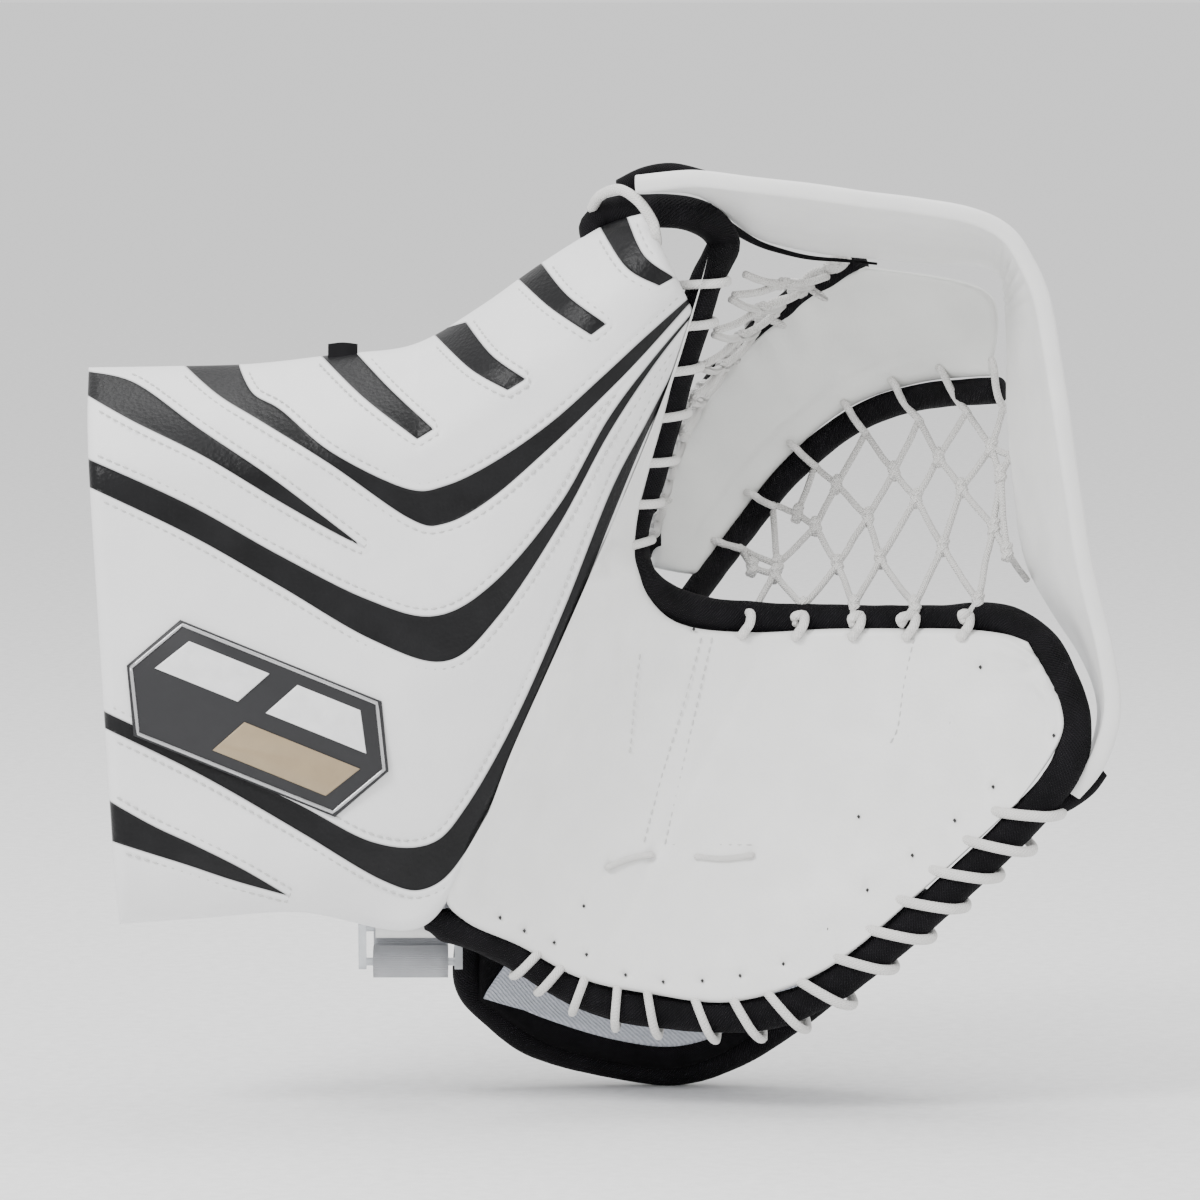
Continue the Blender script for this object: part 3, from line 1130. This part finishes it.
# the strap's end shows above the cuff
PEEK_ROWS = [
    [(-101.5, 54, 266), (-96, 53.4, 267), (-90.5, 54, 266)],
    [(-101.5, 56.5, 273.2), (-96, 56.5, 273.8), (-90.5, 56.5, 273.2)],
]
peek = patch(PEEK_ROWS, np.linspace(0, 1, 16), np.linspace(0, 1, 10))
dress(slab("strap_end_tab", peek, peek + (0, 1.6, 0)), "black_nylon", "thumb_side", slot="webbing")


def sleeve(name, a, b, r, wall, body):
    """A soft finger sleeve, open at a and closed by a dome at b."""
    a, b = np.array(a, float), np.array(b, float)
    axis = unit(b - a)
    u = unit(np.cross(axis, (0, 0, 1)))
    v = np.cross(axis, u)
    length = np.linalg.norm(b - a)
    outer = [(t, r) for t in np.linspace(0.6, length, 26)]
    outer += [(length + r * math.sin(q), r * math.cos(q)) for q in np.linspace(0.2, 1.5, 8)]
    inner = [(t, rr - wall) if rr > wall + 0.5 else (t - wall, 0.3) for t, rr in outer[::-1]]
    inner = [(min(t, length + (r - wall) * 0.985), rr) for t, rr in inner]
    profile = [(0.0, r - wall * 0.3)] + outer + inner + [(0.0, r - wall * 0.7)]
    w = angles(40)
    rings = np.array([a + axis * t + rr * circle(w, u, v) for t, rr in profile])
    centre_line = a + axis * np.array([t for t, _ in profile])[:, None, None] * np.ones((1, 40, 1))
    rings = rings + 0.5 * rough(centre_line * 2 + rings, 16)[..., None] * unit(rings - centre_line)
    faces = around(np.arange(len(rings) * 40).reshape(-1, 40), closed=True)
    skin = outward(make_object(name, rings.reshape(-1, 3), faces))
    dress(skin, "mesh_lining", body, replaces=name.replace("_sleeve", "_stall"))
    seam = np.array([a + axis * t + (r + 0.2) * u for t in np.linspace(2, length, 30)])
    dress(capsules(name + "_seam", [seam], 2.2, 1.2, 0.35, (0, 0, 0)), "thread", body, slot="mesh_lining")


def stall_point(x, z):
    """A point of a finger's axis, behind the palm's padding."""
    return (x, float(face(x, z)) + 35.7, z)


for finger, root, tip in (
    ("index", (72, 131), (134, 146.5)),
    ("middle", (74, 107.5), (142, 124.5)),
    ("ring", (70, 83.5), (122, 96.5)),
    ("little", (56, 57), (94, 66.5)),
):
    sleeve(finger + "_sleeve", stall_point(*root), stall_point(*tip), 11, 1.6, "hand_side")
sleeve("thumb_sleeve", (-46, 53, 205), (-4, 57, 282), 15, 1.8, "thumb_side")

# ---- badge: a plain slanted plate with bars

BADGE_AT, BADGE_TURN = (-126, 134), math.radians(22)
PLATE_DEPTHS, BAR_DEPTHS = (12.4, 15.2), (11.7, 12.9)  # front and back


def badge_point(x, z, y):
    """A point of the badge's own plan, turned and set in its place at depth y."""
    c, s = math.cos(BADGE_TURN), math.sin(BADGE_TURN)
    return (BADGE_AT[0] + x * c + z * s, y, BADGE_AT[1] - x * s + z * c)


def straight(points, n):
    """n steps along each straight side between points."""
    p = np.asarray(points, float)
    return np.concatenate([a + np.linspace(0, 1, n + 1)[:-1, None] * (b - a) for a, b in zip(p, p[1:])])


def plate(corners, depths, bevel):
    """A flat plate with a rounded front edge."""
    front, back = depths
    p = straight(corners + corners[:1], 8)
    centre = p.mean(0)
    n = len(p)
    levels = [(0, back), (0, front + bevel), (bevel * 0.3, front + bevel * 0.3), (bevel, front)]
    verts = []
    for inset, y in levels:
        d = unit(p - centre)
        verts += [badge_point(*q, y) for q in p - d * inset]
    faces = around(np.arange(4 * n).reshape(4, n)).tolist()
    faces += [tuple(range(n)), tuple(range(3 * n, 4 * n))[::-1]]
    return np.array(verts), faces, np.zeros((len(verts), 2))


HEXAGON = [(-52, 0), (-40, 23), (40, 23), (52, 0), (40, -23), (-40, -23)]
group("badge_plate", [plate(HEXAGON, PLATE_DEPTHS, 1.0)], "badge_black", "thumb_side", replaces="badge_base")
rim = [badge_point(x * 0.965, z * 0.94, 12.5) for x, z in HEXAGON + HEXAGON[:1]]
rim = np.concatenate([straight(rim, 11), rim[-1:]])
cord("badge_border", rim, 0.7, 10, "badge_rim", "thumb_side", slot="badge_inlay")
white_bars = [[(-42, 3), (-34, 17), (-2, 17), (-9, 3)], [(2, 3), (9, 17), (34, 17), (42, 3)]]
bars = [plate(b, BAR_DEPTHS, 0.5) for b in white_bars]
group("badge_white_bars", bars, "badge_white", "thumb_side", replaces="badge_inlays", slot="badge_inlay")
tan_bar = [(-4, -3), (-11, -17), (34, -17), (42, -3)]
group("badge_tan_bar", [plate(tan_bar, BAR_DEPTHS, 0.5)], "badge_tan", "thumb_side", slot="badge_inlay")

# the CAD's own ring and rivets keep their shapes
for name, look in (("strap_ring", "ring_plastic"), ("rivets", "rivet")):
    o = frame["nodes"][name]
    o.data.materials.clear()
    o.data.materials.append(MATERIALS[look])
    bevel = o.modifiers.new("rounded", "BEVEL")
    bevel.width, bevel.segments, bevel.limit_method = 0.0005, 2, "ANGLE"

# ---- studio

FLOOR_Z = -0.0001  # a hair below the glove
bpy.ops.mesh.primitive_plane_add(size=60, location=(0, 0, FLOOR_Z))
floor = bpy.context.object
floor.name = "floor"
floor.data.materials.append(MATERIALS["floor"])

world = bpy.data.worlds.new("studio")
bpy.context.scene.world = world
world.use_nodes = True
sky = world.node_tree.nodes["Background"].inputs
sky["Color"].default_value = (1, 1, 1, 1)
sky["Strength"].default_value = 1.15


def aim(o, at, target):
    o.location = at
    o.rotation_euler = (Vector(target) - Vector(at)).to_track_quat("-Z", "Y").to_euler()
    bpy.context.scene.collection.objects.link(o)


def area_light(name, at, target, size, power):
    data = bpy.data.lights.new(name, "AREA")
    data.shape, data.size, data.energy = "SQUARE", size, power
    aim(bpy.data.objects.new(name, data), at, target)


GLOVE_CENTRE = (0, 0, 0.17)
area_light("key", (-1.1, -1.3, 1.7), GLOVE_CENTRE, 0.7, 40)
area_light("fill", (1.5, -1.2, 0.9), GLOVE_CENTRE, 1.2, 5)
area_light("top", (0.1, 0.3, 2.0), (0, 0, 0.1), 1.2, 24)

SENSOR = 36
LOOK_AT = np.array((0, 30, 177.6))
CAMERA_DISTANCE = 3000.0
PICTURE_WIDTH = 444.0  # mm across the picture at the glove's depth
camera = bpy.data.objects.new("camera", bpy.data.cameras.new("camera"))
aim(camera, place(LOOK_AT - (0, CAMERA_DISTANCE, 0)), place(LOOK_AT))
camera.data.sensor_width = SENSOR
camera.data.lens = SENSOR * CAMERA_DISTANCE / PICTURE_WIDTH
camera.data.clip_end = 50
bpy.context.scene.camera = camera
